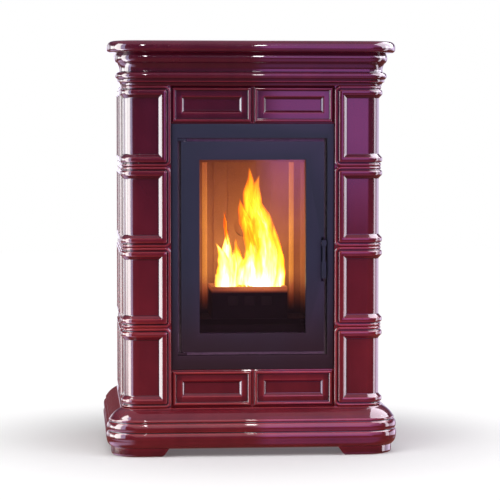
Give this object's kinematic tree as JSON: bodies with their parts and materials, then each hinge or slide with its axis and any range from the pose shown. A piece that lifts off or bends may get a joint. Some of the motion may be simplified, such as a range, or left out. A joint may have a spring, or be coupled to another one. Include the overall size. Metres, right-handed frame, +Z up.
{
  "type": "pellet stove",
  "caption": "Free-standing pellet stove clad in glazed ceramic tiles, with a hinged glass door, brazier, rear hopper with a lifting lid, auger feed, fans and a rear flue spigot.",
  "frame": {"origin": "centre of the overall box, on the floor", "axes": "+Z up, -Y out of the door, +X to the right of someone facing the door"},
  "size_m": [0.787, 0.62, 1.105],
  "materials": {
    "burgundy_glaze": "gloss",
    "black_steel": "satin",
    "galvanised_steel": "satin",
    "cast_iron": "matte",
    "steel_pin": "satin",
    "clear_glass": "gloss",
    "rope_seal": "matte",
    "black_plastic": "matte",
    "button_plastic": "matte"
  },
  "bodies": {
    "stove_body": {"air_inlet_pipe": "galvanised_steel", "ash_drawer": "galvanised_steel", "auger_housing": "galvanised_steel", "baffle": "cast_iron", "base_tray": "galvanised_steel", "brazier_stand": "galvanised_steel", "control_panel": "black_plastic", "cornice_front": "burgundy_glaze", "cornice_sides": "burgundy_glaze", "door_surround": "black_steel", "exhaust_housing": "galvanised_steel", "exhaust_motor": "black_plastic", "firebox": "galvanised_steel", "firebox_liners": "cast_iron", "front_panel": "galvanised_steel", "gear_motor": "black_plastic", "hinge_brackets": "black_steel", "hinge_pins": "steel_pin", "hopper": "galvanised_steel", "igniter": "steel_pin", "latch_keeper": "black_steel", "left_corner_tile_1": "burgundy_glaze", "left_corner_tile_2": "burgundy_glaze", "left_corner_tile_3": "burgundy_glaze", "left_corner_tile_4": "burgundy_glaze", "left_inner_panel": "galvanised_steel", "left_side_tiles": "burgundy_glaze", "levelling_feet": "steel_pin", "lid_hinge_pin": "steel_pin", "lower_frieze_tiles": "burgundy_glaze", "mains_inlet": "black_plastic", "panel_screws": "steel_pin", "plinth_front": "burgundy_glaze", "plinth_sides": "burgundy_glaze", "rear_panel": "galvanised_steel", "right_corner_tile_1": "burgundy_glaze", "right_corner_tile_2": "burgundy_glaze", "right_corner_tile_3": "burgundy_glaze", "right_corner_tile_4": "burgundy_glaze", "right_inner_panel": "galvanised_steel", "right_side_tiles": "burgundy_glaze", "room_fan_housing": "galvanised_steel", "top_frame": "galvanised_steel", "top_slab": "burgundy_glaze", "upper_frieze_tiles": "burgundy_glaze"},
    "door": {"door_frame": "black_steel", "door_glass": "clear_glass", "door_seal": "rope_seal", "glass_clips": "black_steel", "handle_pin": "steel_pin"},
    "handle": {"handle_lever": "black_steel"},
    "lid": {"hopper_lid": "black_steel"},
    "brazier": {"brazier": "cast_iron"},
    "auger": {"auger_screw": "steel_pin"},
    "exhaust_rotor": {"exhaust_impeller": "steel_pin"},
    "room_rotor": {"room_fan_rotor": "steel_pin"},
    "minus_button": {"minus_button": "button_plastic"},
    "power_button": {"power_button": "button_plastic"},
    "plus_button": {"plus_button": "button_plastic"},
    "rocker": {"mains_rocker": "button_plastic"}
  },
  "joints": [
    {"name": "door_swing", "type": "hinge", "parent": "stove_body", "child": "door", "pos_m": [-0.1835, -0.244, 0.557], "axis": [0, 0, -1], "range_deg": [0, 100]},
    {"name": "handle_pull", "type": "hinge", "parent": "door", "child": "handle", "pos_m": [0.1905, -0.2525, 0.566], "axis": [-1, 0, 0], "range_deg": [0, 35]},
    {"name": "lid_lift", "type": "hinge", "parent": "stove_body", "child": "lid", "pos_m": [0, 0.243, 1.097], "axis": [-1, 0, 0], "range_deg": [0, 80]},
    {"name": "brazier_lift", "type": "slide", "parent": "stove_body", "child": "brazier", "axis": [0, 0, 1], "range_m": [0, 0.06]},
    {"name": "auger_spin", "type": "hinge", "parent": "stove_body", "child": "auger", "pos_m": [0, 0.1, 0.599], "axis": [0, 1, 0], "continuous": true},
    {"name": "exhaust_spin", "type": "hinge", "parent": "stove_body", "child": "exhaust_rotor", "pos_m": [-0.13, 0.04, 0.208], "axis": [1, 0, 0], "continuous": true},
    {"name": "room_fan_spin", "type": "hinge", "parent": "stove_body", "child": "room_rotor", "pos_m": [0.095, -0.13, 0.093], "axis": [1, 0, 0], "continuous": true},
    {"name": "mains_rock", "type": "hinge", "parent": "stove_body", "child": "rocker", "pos_m": [0.25, 0.2605, 0.19], "axis": [1, 0, 0], "range_deg": [-7, 7]},
    {"name": "minus_press", "type": "slide", "parent": "stove_body", "child": "minus_button", "axis": [0, 0, -1], "range_m": [0, 0.0012], "stiffness_N_per_m": 400},
    {"name": "power_press", "type": "slide", "parent": "stove_body", "child": "power_button", "axis": [0, 0, -1], "range_m": [0, 0.0012], "stiffness_N_per_m": 400},
    {"name": "plus_press", "type": "slide", "parent": "stove_body", "child": "plus_button", "axis": [0, 0, -1], "range_m": [0, 0.0012], "stiffness_N_per_m": 400}
  ]
}
